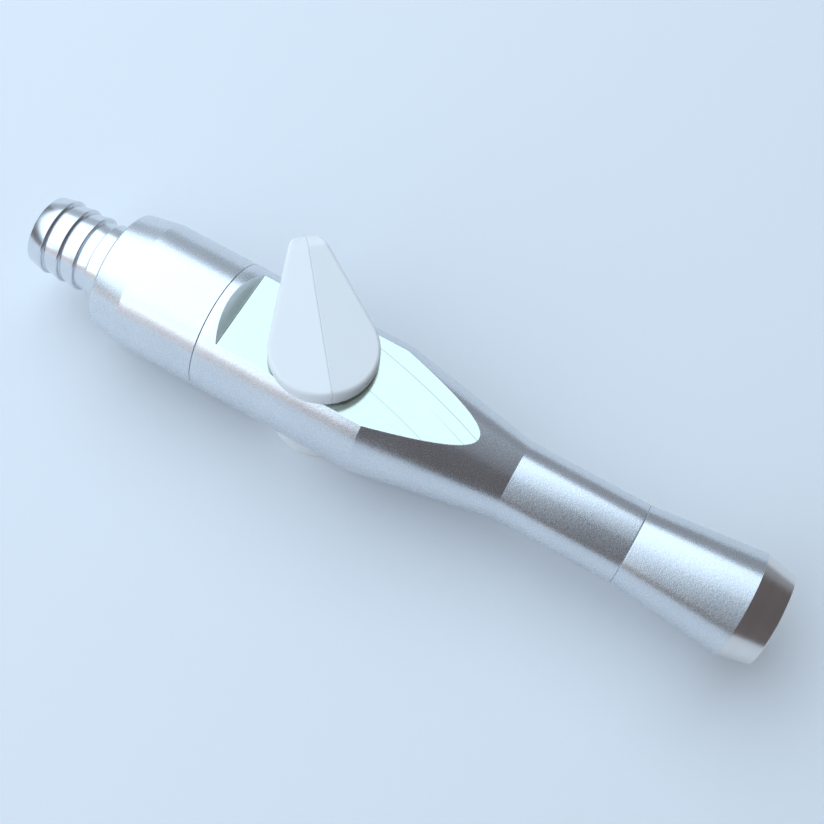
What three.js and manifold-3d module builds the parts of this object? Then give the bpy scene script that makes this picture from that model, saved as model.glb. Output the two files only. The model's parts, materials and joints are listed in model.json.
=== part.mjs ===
// A saliva-ejector (weak suction) handpiece with a quarter-turn valve.
// Millimetres, +Z up. The frame's origin is the centre of the flat face of the bottom cap, on
// the valve's axis; +X runs along the handpiece to its mouth, and the lever turns about +Z.
// Turned pieces are drawn as profiles of [station, radius], with stations counted from the rear
// end of the hose tail. Heights of the valve's pieces are counted from the handpiece's axis.
import * as THREE from "three";
import { mergeVertices } from "three/addons/utils/BufferGeometryUtils.js";
import Module from "manifold-3d";

const wasm = await Module();
wasm.setup();

// Driving dimensions.
const LENGTH = 105;
const TUBE_R = 8.85;
const NECK_R = 5.4;
const MOUTH_R = 6.1;
const MOUTH_MAX_R = 6.95;
const FLOW_R = 2.8; // the bore through the body, the spool and the nozzle's throat
const SOCKET_R = 3.35; // takes a 6.5 mm ejector tip

// Stations along the handpiece.
const SLEEVE_REAR = 11.85;
const SLEEVE_SHOULDER = 16.4;
const SLEEVE_FRONT = 27.5;
const FLAT_REAR = 29.95;
const PIVOT = 42;
const CONE_REAR = 50.7;
const CONE_FRONT = 69.4;
const NOZZLE_REAR = 85.8;
const CHAMFER_REAR = 100.9;

// The hose tail and its swivel.
const TAIL_BORE_R = 3.3;
const TAIL_END_R = 4.68;
const BARB_TOPS = [2.3, 4.75, 7.15];
const BARB_R = 5.24;
const BARB_ROOT_R = 4.76;
const COLLAR_REAR = 8.9;
const COLLAR_R = 5.15;
const FLANGE_REAR = 13.8;
const FLANGE_FRONT = 15.8;
const FLANGE_R = 6.4;
const NOSE_R = 4.2;
const NOSE_FRONT = 20.6;

// The joints between the three turned shells.
const CHAMBER_R = 6.75;
const CHAMBER_REAR = 13.2;
const SPIGOT_R = 6.7;
const SPIGOT_REAR = 16.4;
const FRONT_SPIGOT_R = 4.4;
const FRONT_SPIGOT_END = 91;
const SEAM = 0.06; // the hairline left where two shells meet

// The valve: heights above the handpiece's axis.
const FLAT_Z = 6.64; // at the pivot
const FLAT_FALL = 0.0094; // the flat sinks this far for each unit of length towards the mouth
const FLAT_WALL_SLANT = 0.6; // the wall leans back this far for each unit of height
const SPOOL_R = 4.2;
const SPOOL_BORE_R = 4.25;
const LEVER_BOTTOM_Z = 7.02;
const LEVER_RIDGE_Z = 9.6;
const LEVER_R = 6.95;
const LEVER_REACH = 16.25;
const LEVER_TAPER = THREE.MathUtils.degToRad(18.5);
const LEVER_ROOF = THREE.MathUtils.degToRad(7);
const LEVER_TIP_SLOPE = THREE.MathUtils.degToRad(35);
const LEVER_TIP_FACET = 2.5;
const LEVER_ANGLE = THREE.MathUtils.degToRad(128.8); // from the mouth, as stored
const OPEN_ANGLE = THREE.MathUtils.degToRad(135);
const CLOSED_ANGLE = THREE.MathUtils.degToRad(45);
const SQUARE = 4.6;
const SQUARE_TOP_Z = 8.5;
const STOP_PIN_R = 0.55;
const STOP_PIN_ORBIT = 5.65;
const STOP_PIN_ANGLE = THREE.MathUtils.degToRad(-45);
const POCKET_R = 7.1;
const POCKET_Z = -7;
const CAP_R = 7;
const CAP_FACE_Z = -10;

const ROUND = 40;
const SMALL_ROUND = 24;
const RING_ROUND = 20;

// Finishes.
const BLASTED = { color: 0xb9c2cc, roughness: 0.42, metalness: 1 };
const TURNED = { color: 0xc3c8cd, roughness: 0.25, metalness: 1 };
const STEEL = { color: 0x9ea3a8, roughness: 0.3, metalness: 1 };
const WHITE_PLASTIC = { color: 0xeef1f4, roughness: 0.4, metalness: 0 };
const NATURAL_PLASTIC = { color: 0xe4e0d2, roughness: 0.5, metalness: 0 };
const RUBBER = { color: 0x1d1d1f, roughness: 0.7, metalness: 0 };

// ---- helpers ---------------------------------------------------------------------------------

// Twice the signed area of a closed outline, positive where it runs anticlockwise.
function turning(outline) {
  let sum = 0;
  outline.forEach(([x, y], i) => {
    const [nextX, nextY] = outline[(i + 1) % outline.length];
    sum += x * nextY - nextX * y;
  });
  return sum;
}

// A solid of revolution about X from a closed outline of [station, radius].
function turned(outline, round = ROUND) {
  const points = turning(outline) > 0 ? [...outline].reverse() : [...outline];
  points.push(points[0]);
  const profile = points.map(([x, r]) => new THREE.Vector2(r, x));
  const geometry = new THREE.LatheGeometry(profile, round);
  return geometry.rotateZ(-Math.PI / 2);
}

// The same about Z, from [radius, height].
function turnedUpright(outline, round = SMALL_ROUND) {
  const swapped = outline.map(([r, z]) => [z, r]);
  return turned(swapped, round).rotateY(-Math.PI / 2);
}

// A plain bar between two heights, standing on Z at x, y.
function post(radius, low, high, x = 0, y = 0, round = SMALL_ROUND) {
  const bar = turnedUpright([[0, low], [radius, low], [radius, high], [0, high]], round);
  return bar.translate(x, y, 0);
}

// An outline in X and Y, extruded from a low to a high Z.
function slab(outline, low, high) {
  const shape = new THREE.Shape(outline.map(([x, y]) => new THREE.Vector2(x, y)));
  const geometry = new THREE.ExtrudeGeometry(shape, { depth: high - low, bevelEnabled: false });
  return geometry.translate(0, 0, low);
}

function solid(geometry) {
  const bare = new THREE.BufferGeometry();
  bare.setAttribute("position", geometry.getAttribute("position"));
  bare.setIndex(geometry.index);
  const merged = mergeVertices(bare, 1e-4);
  return new wasm.Manifold(
    new wasm.Mesh({
      numProp: 3,
      vertProperties: merged.attributes.position.array,
      triVerts: new Uint32Array(merged.index.array),
    }),
  );
}

function geometryOf(manifold) {
  const { vertProperties, triVerts } = manifold.getMesh();
  const geometry = new THREE.BufferGeometry();
  geometry.setAttribute("position", new THREE.BufferAttribute(vertProperties, 3));
  geometry.setIndex(new THREE.BufferAttribute(triVerts, 1));
  geometry.computeVertexNormals();
  return geometry;
}

// The first geometry with each of the others cut out of it.
function cut(geometry, ...tools) {
  const left = tools.reduce((rest, tool) => rest.subtract(solid(tool)), solid(geometry));
  return geometryOf(left);
}

function join(geometry, ...others) {
  return geometryOf(others.reduce((sum, other) => sum.add(solid(other)), solid(geometry)));
}

function piece(name, geometry, finish) {
  const mesh = new THREE.Mesh(geometry, new THREE.MeshStandardMaterial(finish));
  mesh.name = name;
  return mesh;
}

// A groove in an outline, as the four corners that go down to its floor and back.
function groove(from, to, surface, floor) {
  return [[from, surface], [from, floor], [to, floor], [to, surface]];
}

// The round section of an O-ring, as an outline of [place along the axis, radius].
function ringSection(middle, centreR, sectionR, sides = 6) {
  return Array.from({ length: sides }, (_, i) => {
    const turn = (2 * Math.PI * (i + 0.5)) / sides;
    return [middle + sectionR * Math.cos(turn), centreR + sectionR * Math.sin(turn)];
  });
}

function washerOutline(low, high, innerR, outerR) {
  return [[low, innerR], [low, outerR], [high, outerR], [high, innerR]];
}

// ---- the shells ------------------------------------------------------------------------------

// The flat slopes a little, so its height depends on the station.
function flatHeight(station) {
  return FLAT_Z - FLAT_FALL * (station - PIVOT);
}

// The tool that mills the valve's flat, with its leaning rear wall.
function flatCutter() {
  const top = TUBE_R + 1;
  const foot = flatHeight(FLAT_REAR);
  const side = new THREE.Shape([
    new THREE.Vector2(FLAT_REAR, foot),
    new THREE.Vector2(CONE_FRONT, flatHeight(CONE_FRONT)),
    new THREE.Vector2(CONE_FRONT, top),
    new THREE.Vector2(FLAT_REAR - FLAT_WALL_SLANT * (top - foot), top),
  ]);
  const width = 2 * TUBE_R + 2;
  const cutter = new THREE.ExtrudeGeometry(side, { depth: width, bevelEnabled: false });
  return cutter.translate(0, 0, -width / 2).rotateX(Math.PI / 2);
}

function stopPinPlace() {
  const x = PIVOT + STOP_PIN_ORBIT * Math.cos(STOP_PIN_ANGLE);
  return [x, STOP_PIN_ORBIT * Math.sin(STOP_PIN_ANGLE)];
}

function mainBody() {
  const blank = turned([
    [SPIGOT_REAR, NOSE_R + 0.1],
    [SPIGOT_REAR, SPIGOT_R],
    ...groove(24.9, 26, SPIGOT_R, SPIGOT_R - 0.8),
    [SLEEVE_FRONT + SEAM, SPIGOT_R],
    [SLEEVE_FRONT + SEAM, TUBE_R],
    [CONE_REAR, TUBE_R],
    [CONE_FRONT, NECK_R],
    [NOZZLE_REAR, NECK_R],
    [NOZZLE_REAR, FRONT_SPIGOT_R],
    ...groove(87.6, 88.5, FRONT_SPIGOT_R, FRONT_SPIGOT_R - 0.65),
    [FRONT_SPIGOT_END, FRONT_SPIGOT_R],
    [FRONT_SPIGOT_END, FLOW_R],
    [NOSE_FRONT + 2.4, FLOW_R],
    [NOSE_FRONT + 0.9, NOSE_R + 0.1],
  ]);
  const [pinX, pinY] = stopPinPlace();
  return cut(
    blank,
    flatCutter(),
    post(SPOOL_BORE_R, POCKET_Z - 0.5, FLAT_Z + 1, PIVOT, 0, ROUND),
    post(POCKET_R, POCKET_Z - 4, POCKET_Z, PIVOT, 0, ROUND),
    post(STOP_PIN_R + 0.03, FLAT_Z - 1.5, FLAT_Z + 1, pinX, pinY, 16),
  );
}

function rearSleeve() {
  return turned([
    [SLEEVE_REAR, COLLAR_R + 0.15],
    [SLEEVE_REAR, 7.7],
    [SLEEVE_REAR + 0.35, 8.05],
    [SLEEVE_SHOULDER - 0.3, TUBE_R - 0.1],
    [SLEEVE_SHOULDER + 0.3, TUBE_R],
    [SLEEVE_FRONT, TUBE_R],
    [SLEEVE_FRONT, CHAMBER_R],
    [CHAMBER_REAR, CHAMBER_R],
    [CHAMBER_REAR, COLLAR_R + 0.15],
  ]);
}

function frontNozzle() {
  const socketFloor = 93.4;
  const grooveR = SOCKET_R + 1.15;
  return turned([
    [NOZZLE_REAR + SEAM, FRONT_SPIGOT_R + 0.05],
    [NOZZLE_REAR + SEAM, NECK_R],
    [CHAMFER_REAR, MOUTH_MAX_R],
    [LENGTH - 0.2, MOUTH_R],
    [LENGTH, MOUTH_R - 0.2],
    [LENGTH, SOCKET_R + 0.6],
    [LENGTH - 0.8, SOCKET_R],
    ...groove(102.6, 101.2, SOCKET_R, grooveR),
    ...groove(97.6, 96.2, SOCKET_R, grooveR),
    [socketFloor, SOCKET_R],
    [socketFloor, FLOW_R],
    [FRONT_SPIGOT_END + 0.2, FLOW_R],
    [FRONT_SPIGOT_END + 0.2, FRONT_SPIGOT_R + 0.05],
  ]);
}

// ---- the swivelling hose tail ----------------------------------------------------------------

// One barb: a slow rise to its edge and a short drop to the root behind it.
function barb(top) {
  return [[top, BARB_R], [top + 0.08, BARB_R - 0.06], [top + 0.2, BARB_ROOT_R]];
}

function tailBarb() {
  return turned([
    [0, TAIL_BORE_R],
    [0, TAIL_END_R - 0.25],
    [0.25, TAIL_END_R],
    ...BARB_TOPS.flatMap(barb),
    [COLLAR_REAR, BARB_ROOT_R],
    [COLLAR_REAR + 0.1, COLLAR_R],
    [FLANGE_REAR, COLLAR_R],
    [FLANGE_REAR, FLANGE_R],
    [FLANGE_FRONT, FLANGE_R],
    [FLANGE_FRONT, NOSE_R],
    ...groove(17.6, 18.6, NOSE_R, NOSE_R - 0.7),
    [NOSE_FRONT, NOSE_R],
    [NOSE_FRONT, FLOW_R],
    [FLANGE_REAR + 1.6, FLOW_R],
    [FLANGE_REAR + 1.1, TAIL_BORE_R],
  ]);
}

function swivelWasherRear() {
  return turned(washerOutline(CHAMBER_REAR + 0.05, FLANGE_REAR - 0.08, COLLAR_R + 0.1, 6.6));
}

function swivelWasherFront() {
  return turned(washerOutline(FLANGE_FRONT + 0.08, SPIGOT_REAR - 0.05, NOSE_R + 0.1, 6.6));
}

// ---- the valve -------------------------------------------------------------------------------

// The lever's plan: a round end about the pivot, and straight sides tangent to it that run in
// to the blunt tip. It points along +X here.
function leverPlan() {
  const tangent = Math.PI / 2 - LEVER_TAPER;
  const steps = 36;
  const sweep = 2 * (Math.PI - tangent);
  const end = Array.from({ length: steps + 1 }, (_, i) => {
    const turn = tangent + (sweep * i) / steps;
    return [LEVER_R * Math.cos(turn), LEVER_R * Math.sin(turn)];
  });
  const tipHalf = LEVER_R / Math.cos(LEVER_TAPER) - LEVER_REACH * Math.tan(LEVER_TAPER);
  return [...end, [LEVER_REACH, -tipHalf], [LEVER_REACH, tipHalf]];
}

// A block whose underside passes through a point of the ridge, for planing the lever's top.
function planer(x, roll, pitch) {
  const block = new THREE.BoxGeometry(80, 80, 40).translate(0, 0, 20);
  return block.rotateX(roll).rotateY(pitch).translate(x, 0, LEVER_RIDGE_Z);
}

// The arc in the lever's underside that the stop pin runs in.
function stopSlot() {
  const margin = THREE.MathUtils.degToRad(8);
  const pin = STOP_PIN_ANGLE - LEVER_ANGLE;
  const first = pin - (OPEN_ANGLE - LEVER_ANGLE) - margin;
  const last = pin + (LEVER_ANGLE - CLOSED_ANGLE) + margin;
  const steps = 16;
  const arc = (radius, from, to) =>
    Array.from({ length: steps + 1 }, (_, i) => {
      const turn = from + ((to - from) * i) / steps;
      return [radius * Math.cos(turn), radius * Math.sin(turn)];
    });
  const outline = [
    ...arc(STOP_PIN_ORBIT + STOP_PIN_R + 0.1, first, last),
    ...arc(STOP_PIN_ORBIT - STOP_PIN_R - 0.1, last, first),
  ];
  return slab(outline, LEVER_BOTTOM_Z - 1, LEVER_BOTTOM_Z + 1.1);
}

function squareBar(side, low, high) {
  return new THREE.BoxGeometry(side, side, high - low).translate(0, 0, (low + high) / 2);
}

function lever() {
  const blank = slab(leverPlan(), LEVER_BOTTOM_Z, LEVER_RIDGE_Z + 0.5);
  return cut(
    blank,
    planer(0, LEVER_ROOF, 0),
    planer(0, -LEVER_ROOF, 0),
    planer(LEVER_REACH - LEVER_TIP_FACET, 0, LEVER_TIP_SLOPE),
    squareBar(SQUARE + 0.1, LEVER_BOTTOM_Z - 1, SQUARE_TOP_Z + 0.1),
    stopSlot(),
  );
}

// The spool turns in the body's cross bore; its port lines up with the bore when the lever is
// at OPEN_ANGLE. It is drawn in the lever's own frame, so the port leans from the lever.
function valveSpool() {
  const foot = POCKET_Z - 0.28;
  const barrel = turnedUpright(
    [
      [0, foot],
      [2.9, foot],
      [2.9, POCKET_Z + 0.2],
      [SPOOL_R, POCKET_Z + 0.2],
      [SPOOL_R, -5.2],
      [SPOOL_R - 0.9, -5.2],
      [SPOOL_R - 0.9, -4.1],
      [SPOOL_R, -4.1],
      [SPOOL_R, 4.1],
      [SPOOL_R - 0.9, 4.1],
      [SPOOL_R - 0.9, 5.2],
      [SPOOL_R, 5.2],
      [SPOOL_R, FLAT_Z - 0.1],
      [0, FLAT_Z - 0.1],
    ],
    ROUND,
  );
  const drive = squareBar(SQUARE, FLAT_Z - 0.5, SQUARE_TOP_Z);
  const port = post(FLOW_R, -10, 10).rotateY(Math.PI / 2).rotateZ(-OPEN_ANGLE);
  const screwHole = post(1.28, foot - 1, foot + 3.2, 0, 0, 20);
  return cut(join(barrel, drive), port, screwHole);
}

function spoolRing(height) {
  const section = ringSection(height, SPOOL_R - 0.45, 0.41);
  return turnedUpright(section.map(([z, r]) => [r, z]), RING_ROUND);
}

function uprightWasher(low, high, innerR, outerR) {
  return turnedUpright([[innerR, low], [outerR, low], [outerR, high], [innerR, high]]);
}

// A wave washer: a flat ring bent up and down three times round.
function waveWasher() {
  const geometry = uprightWasher(-0.09, 0.09, 3.1, 5.4);
  const place = geometry.getAttribute("position");
  for (let i = 0; i < place.count; i++) {
    const turn = Math.atan2(place.getY(i), place.getX(i));
    place.setZ(i, place.getZ(i) + POCKET_Z - 0.2 + 0.08 * Math.cos(3 * turn));
  }
  return geometry;
}

function retainingScrew() {
  const shankTop = POCKET_Z - 0.28 + 2.6;
  const headTop = POCKET_Z - 1.05;
  const headLow = POCKET_Z - 2.15;
  const turnedPart = turnedUpright([
    [0, headLow],
    [2.2, headLow],
    [2.3, headLow + 0.15],
    [2.3, headTop],
    [1.25, headTop],
    [1.25, shankTop],
    [0, shankTop],
  ]);
  const hex = post(0.87, headLow - 1, headLow + 0.7, 0, 0, 6);
  return cut(turnedPart, hex);
}

// The snap-in cover over the screw: a shallow cup, open towards the body.
function bottomCap() {
  return turnedUpright(
    [
      [0, CAP_FACE_Z],
      [CAP_R - 0.4, CAP_FACE_Z],
      [CAP_R, CAP_FACE_Z + 0.4],
      [CAP_R, POCKET_Z - 0.05],
      [CAP_R - 0.7, POCKET_Z - 0.05],
      [CAP_R - 0.7, CAP_FACE_Z + 0.75],
      [0, CAP_FACE_Z + 0.75],
    ],
    ROUND,
  );
}

// ---- the assembly ----------------------------------------------------------------------------

function ring(name, middle, centreR, sectionR) {
  return piece(name, turned(ringSection(middle, centreR, sectionR), RING_ROUND), RUBBER);
}

function fixedPieces() {
  const [pinX, pinY] = stopPinPlace();
  const pin = post(STOP_PIN_R, FLAT_Z - 1.4, LEVER_BOTTOM_Z + 0.8, pinX, pinY, 16);
  return [
    piece("main_body", mainBody(), BLASTED),
    piece("rear_sleeve", rearSleeve(), BLASTED),
    piece("front_nozzle", frontNozzle(), BLASTED),
    ring("sleeve_o_ring", 25.45, SPIGOT_R - 0.39, 0.36),
    ring("nozzle_o_ring", 88.05, FRONT_SPIGOT_R - 0.32, 0.29),
    ring("tip_o_ring_front", 101.9, SOCKET_R + 0.5, 0.6),
    ring("tip_o_ring_rear", 96.9, SOCKET_R + 0.5, 0.6),
    piece("swivel_washer_rear", swivelWasherRear(), NATURAL_PLASTIC),
    piece("swivel_washer_front", swivelWasherFront(), NATURAL_PLASTIC),
    piece("stop_pin", pin, STEEL),
    piece("bottom_cap", bottomCap().translate(PIVOT, 0, 0), WHITE_PLASTIC),
  ];
}

function tailPieces() {
  return [
    piece("tail_barb", tailBarb(), TURNED),
    ring("swivel_o_ring", 18.1, NOSE_R - 0.34, 0.33),
  ];
}

function valvePieces() {
  const group = new THREE.Group();
  group.position.x = PIVOT;
  group.rotation.z = LEVER_ANGLE;
  group.add(
    piece("lever", lever(), WHITE_PLASTIC),
    piece("valve_spool", valveSpool(), STEEL),
    piece("spool_o_ring_upper", spoolRing(4.65), RUBBER),
    piece("spool_o_ring_lower", spoolRing(-4.65), RUBBER),
    piece("lever_washer", uprightWasher(FLAT_Z + 0.07, LEVER_BOTTOM_Z - 0.04, 3.6, 4.95),
      NATURAL_PLASTIC),
    piece("spool_wave_washer", waveWasher(), STEEL),
    piece("retaining_washer", uprightWasher(POCKET_Z - 1, POCKET_Z - 0.42, 1.4, 5.5), STEEL),
    piece("retaining_screw", retainingScrew(), STEEL),
  );
  return group;
}

const handpiece = new THREE.Group();
handpiece.position.set(-PIVOT, 0, -CAP_FACE_Z);
handpiece.add(...fixedPieces(), ...tailPieces(), valvePieces());

const part = new THREE.Group();
part.add(handpiece);

export default part;
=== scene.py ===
# %% [markdown]
# # A suction handpiece, turned, milled and moulded
#
# What shows of the handpiece is four turned or milled pieces of metal and two white mouldings.
# The imported model gives every place and size. Here each visible piece gets the surface it would
# leave the workshop with: soft broken edges, a blasted or turned skin, and a parting line cut as a
# real groove, with a grey line of painted shade along it.

# %% The imported model
import json
import math

import bmesh
import bpy
import numpy as np
from mathutils import Matrix, Vector

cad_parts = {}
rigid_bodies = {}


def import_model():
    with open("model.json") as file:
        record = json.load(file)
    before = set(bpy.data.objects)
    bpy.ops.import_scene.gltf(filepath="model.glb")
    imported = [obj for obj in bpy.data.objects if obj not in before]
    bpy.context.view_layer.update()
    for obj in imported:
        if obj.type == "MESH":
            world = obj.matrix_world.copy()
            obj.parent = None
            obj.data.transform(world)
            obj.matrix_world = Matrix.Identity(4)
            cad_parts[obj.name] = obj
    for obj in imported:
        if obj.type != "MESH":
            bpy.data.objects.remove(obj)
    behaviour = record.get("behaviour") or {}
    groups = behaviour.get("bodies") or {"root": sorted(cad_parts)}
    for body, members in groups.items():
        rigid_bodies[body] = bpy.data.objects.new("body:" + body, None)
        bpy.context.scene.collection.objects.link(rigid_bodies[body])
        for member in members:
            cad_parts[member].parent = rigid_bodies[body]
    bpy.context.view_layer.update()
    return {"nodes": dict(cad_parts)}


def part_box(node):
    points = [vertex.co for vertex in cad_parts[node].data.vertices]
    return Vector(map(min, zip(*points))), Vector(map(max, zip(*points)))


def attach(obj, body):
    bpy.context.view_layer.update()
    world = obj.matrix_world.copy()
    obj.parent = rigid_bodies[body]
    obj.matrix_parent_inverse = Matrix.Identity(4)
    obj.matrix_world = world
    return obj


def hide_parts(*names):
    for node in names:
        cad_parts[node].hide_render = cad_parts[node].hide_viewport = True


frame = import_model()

# %% [markdown]
# ## Places taken from the model
#
# Everything turned shares one axis along X. Its height is the middle of the rear sleeve, and
# stations along it are counted in millimetres from the rear end of the hose tail. The valve
# stands upright on the axis, at the origin.

# %% The axis, and stations along it
MM = 0.001
tail_low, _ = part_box("tail_barb")
sleeve_low, sleeve_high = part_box("rear_sleeve")
nozzle_low, nozzle_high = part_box("front_nozzle")
lever_low, lever_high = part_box("lever")
cap_low, cap_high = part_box("bottom_cap")

AXIS_Z = (sleeve_low.z + sleeve_high.z) / 2
REAR_X = tail_low.x
PIVOT = -REAR_X / MM
LENGTH = (nozzle_high.x - REAR_X) / MM
TUBE_R = (sleeve_high.z - sleeve_low.z) / 2 / MM
LEVER_TURN = math.radians(128.8)


def station(x):
    """A place along X in the row frame, as millimetres from the rear end."""
    return (x - REAR_X) / MM


SLEEVE_REAR = station(sleeve_low.x)
SLEEVE_FRONT = station(sleeve_high.x)
NOZZLE_REAR = station(nozzle_low.x)
print(f"axis {AXIS_Z / MM:.2f} mm up, length {LENGTH:.1f}, tube radius {TUBE_R:.2f}")

# %% [markdown]
# ## Radii that pieces share
#
# Millimetres from the axis, for the bores, spigots and grooves where one piece fits another. The
# last number is the hairline gap between the sleeve and the body.

# %% Fits
FLOW_R = 2.8
SOCKET_R = 3.35
SOCKET_GROOVE_R = 4.5
TAIL_BORE_R = 3.3
NOSE_R = 4.2
FLANGE_R = 6.4
FRONT_SPIGOT_R = 4.4
SPIGOT_R = 6.7
CHAMBER_R = 6.75
SLEEVE_BORE_R = 5.3
NECK_R = 5.4
SEAM = 0.06

# %% [markdown]
# ## From a grid of points to a mesh
#
# A turned or lofted surface is a grid: one row per place along the outline, one column per step
# around. Whole arrays go into the mesh at once. Rows that shrink to a point are welded, which
# closes the poles, and the normals are then made to face out.


# %% The mesh maker
WELD = 2e-7


def loop_faces(rows, columns, close_rows=True):
    """Quads between neighbouring rows and columns; columns always close round, rows may."""
    row = np.arange(rows if close_rows else rows - 1)[:, None]
    column = np.arange(columns)[None, :]
    here = row * columns + column
    right = row * columns + (column + 1) % columns
    above = ((row + 1) % rows) * columns + column
    corner = ((row + 1) % rows) * columns + (column + 1) % columns
    return np.stack([here, right, corner, above], axis=-1).reshape(-1, 4)


def mesh_object(name, points, faces):
    """Puts an array of points and an array of quads into a new object, welded and closed."""
    mesh = bpy.data.meshes.new(name)
    mesh.vertices.add(len(points))
    mesh.vertices.foreach_set("co", points.astype(np.float32).ravel())
    mesh.loops.add(faces.size)
    mesh.loops.foreach_set("vertex_index", faces.astype(np.int32).ravel())
    mesh.polygons.add(len(faces))
    mesh.polygons.foreach_set("loop_start", np.arange(0, faces.size, 4, dtype=np.int32))
    mesh.polygons.foreach_set("loop_total", np.full(len(faces), 4, dtype=np.int32))
    mesh.update(calc_edges=True)
    tidy = bmesh.new()
    tidy.from_mesh(mesh)
    bmesh.ops.remove_doubles(tidy, verts=tidy.verts, dist=WELD)
    bmesh.ops.dissolve_degenerate(tidy, edges=tidy.edges, dist=WELD)
    bmesh.ops.recalc_face_normals(tidy, faces=tidy.faces)
    tidy.to_mesh(mesh)
    tidy.free()
    piece = bpy.data.objects.new(name, mesh)
    bpy.context.scene.collection.objects.link(piece)
    return piece


def smooth(piece):
    """Smooth shading in which big faces win, so that flats stay flat beside soft edges."""
    piece.data.polygons.foreach_set("use_smooth", np.ones(len(piece.data.polygons), bool))
    weigh = piece.modifiers.new("weighted normals", "WEIGHTED_NORMAL")
    weigh.keep_sharp = True
    return piece


# %% [markdown]
# ## Soft corners
#
# No machined edge is perfectly sharp. Each corner of an outline is replaced by the arc that is
# tangent to both of its sides, so the highlight that a real edge shows comes from the shape.


# %% Outlines with rounded corners
def rounded(corners, steps=4):
    """A closed outline from (x, r, radius) corners. Each corner becomes an arc that touches both
    sides at radius * tan(half the turn) from the corner, cut short where a side is short."""
    place = np.array([c[:2] for c in corners], float)
    wanted = np.array([c[2] for c in corners], float)
    before = np.roll(place, 1, axis=0) - place
    after = np.roll(place, -1, axis=0) - place
    length_before = np.linalg.norm(before, axis=1)
    length_after = np.linalg.norm(after, axis=1)
    before /= length_before[:, None]
    after /= length_after[:, None]
    inner = np.arccos(np.clip((before * after).sum(1), -1, 1))
    half = inner / 2
    reach = np.minimum(wanted / np.tan(half), 0.45 * np.minimum(length_before, length_after))
    radius = reach * np.tan(half)
    bisector = before + after
    bisector /= np.maximum(np.linalg.norm(bisector, axis=1), 1e-9)[:, None]
    centre = place + bisector * (radius / np.sin(half))[:, None]
    start = place + before * reach[:, None] - centre
    turn = np.linspace(0, 1, steps)[None, :] * (np.pi - inner)[:, None]
    side = np.sign(before[:, 0] * after[:, 1] - before[:, 1] * after[:, 0])[:, None]
    angle = -side * turn
    x = centre[:, :1] + start[:, :1] * np.cos(angle) - start[:, 1:] * np.sin(angle)
    y = centre[:, 1:] + start[:, :1] * np.sin(angle) + start[:, 1:] * np.cos(angle)
    return np.stack([x, y], axis=-1).reshape(-1, 2)


def turned(name, outline, segments=256):
    """A surface of revolution about the handpiece's axis: a point of the outline at station x
    and radius r goes to (x, r sin a, r cos a) for every angle a."""
    angle = np.linspace(0, 2 * np.pi, segments, endpoint=False)[None, :]
    x = np.broadcast_to(outline[:, :1], (len(outline), segments))
    radius = outline[:, 1:]
    points = np.stack([x, radius * np.sin(angle), radius * np.cos(angle)], axis=-1) * MM
    points = points.reshape(-1, 3) + np.array([REAR_X, 0, AXIS_Z])
    piece = smooth(mesh_object(name, points, loop_faces(len(outline), segments)))
    print(f"{name}: {len(piece.data.polygons)} faces")
    return piece


# %% [markdown]
# ## Shader maths as plain expressions
#
# A material is a small graph. Wrapping a socket in a class with operators lets a formula be
# written as a formula. Numbers alone are worked out in Python and never become nodes.


# %% A socket with operators, and a graph that makes nodes
class Value:
    """A number somewhere in a material's graph."""

    def __init__(self, graph, socket):
        self.graph = graph
        self.socket = socket

    def _maths(self, operation, first, second=None):
        values = {0: first} if second is None else {0: first, 1: second}
        return self.graph.node("ShaderNodeMath", {"operation": operation}, values)[0]

    def __add__(self, other):
        return self._maths("ADD", self, other)

    def __sub__(self, other):
        return self._maths("SUBTRACT", self, other)

    def __rsub__(self, other):
        return self._maths("SUBTRACT", other, self)

    def __mul__(self, other):
        return self._maths("MULTIPLY", self, other)

    def __truediv__(self, other):
        return self._maths("DIVIDE", self, other)

    def __pow__(self, other):
        return self._maths("POWER", self, other)

    __radd__ = __add__
    __rmul__ = __mul__

    def size(self):
        """The value without its sign."""
        return self._maths("ABSOLUTE", self)


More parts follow.
